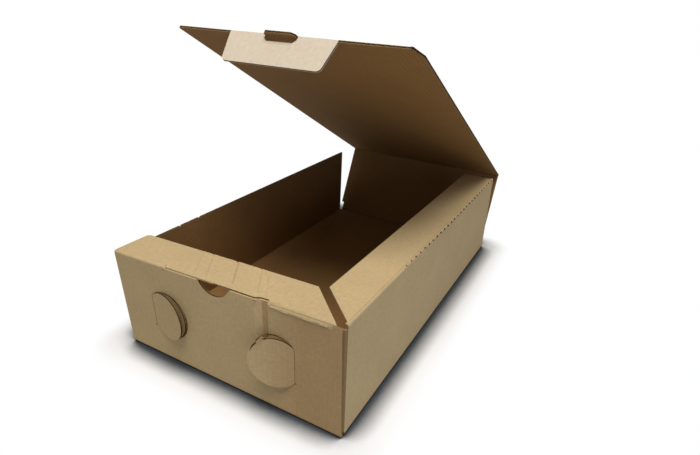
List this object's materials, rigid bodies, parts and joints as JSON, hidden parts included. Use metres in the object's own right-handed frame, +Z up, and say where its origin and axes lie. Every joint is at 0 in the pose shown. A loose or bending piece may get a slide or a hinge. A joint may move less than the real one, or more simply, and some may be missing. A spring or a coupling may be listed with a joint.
{
  "type": "hinged-lid corrugated box",
  "caption": "Die-cut corrugated board box with a hinged lid, a tuck flap, push-through lock tabs and folded-in rims along the top.",
  "frame": {"origin": "middle of the floor's underside", "axes": "+Z up, front wall towards -Y, lid hinged at +Y, +X to the right seen from the front"},
  "size_m": [0.2, 0.3881, 0.2454],
  "materials": {
    "tray": "brown kraft liner, matt",
    "back_panel": "brown kraft liner, matt",
    "lid": "brown kraft liner, matt",
    "tuck_flap": "brown kraft liner, matt"
  },
  "bodies": {
    "tray": {"tray": "tray"},
    "back_panel": {"back_panel": "back_panel"},
    "lid": {"lid": "lid"},
    "tuck_flap": {"tuck_flap": "tuck_flap"}
  },
  "joints": [
    {"name": "back_panel_fold", "type": "hinge", "parent": "tray", "child": "back_panel", "pos_m": [0, 0.171, 0], "axis": [-1, 0, 0], "range_deg": [-24.3, 65.7]},
    {"name": "lid_fold", "type": "hinge", "parent": "back_panel", "child": "lid", "pos_m": [0, 0.20734, 0.08048], "axis": [-1, 0, 0], "range_deg": [-4.2, 85.8]},
    {"name": "tuck_fold", "type": "hinge", "parent": "lid", "child": "tuck_flap", "pos_m": [0, -0.09155, 0.24276], "axis": [1, 0, 0], "range_deg": [-76, 16]}
  ]
}
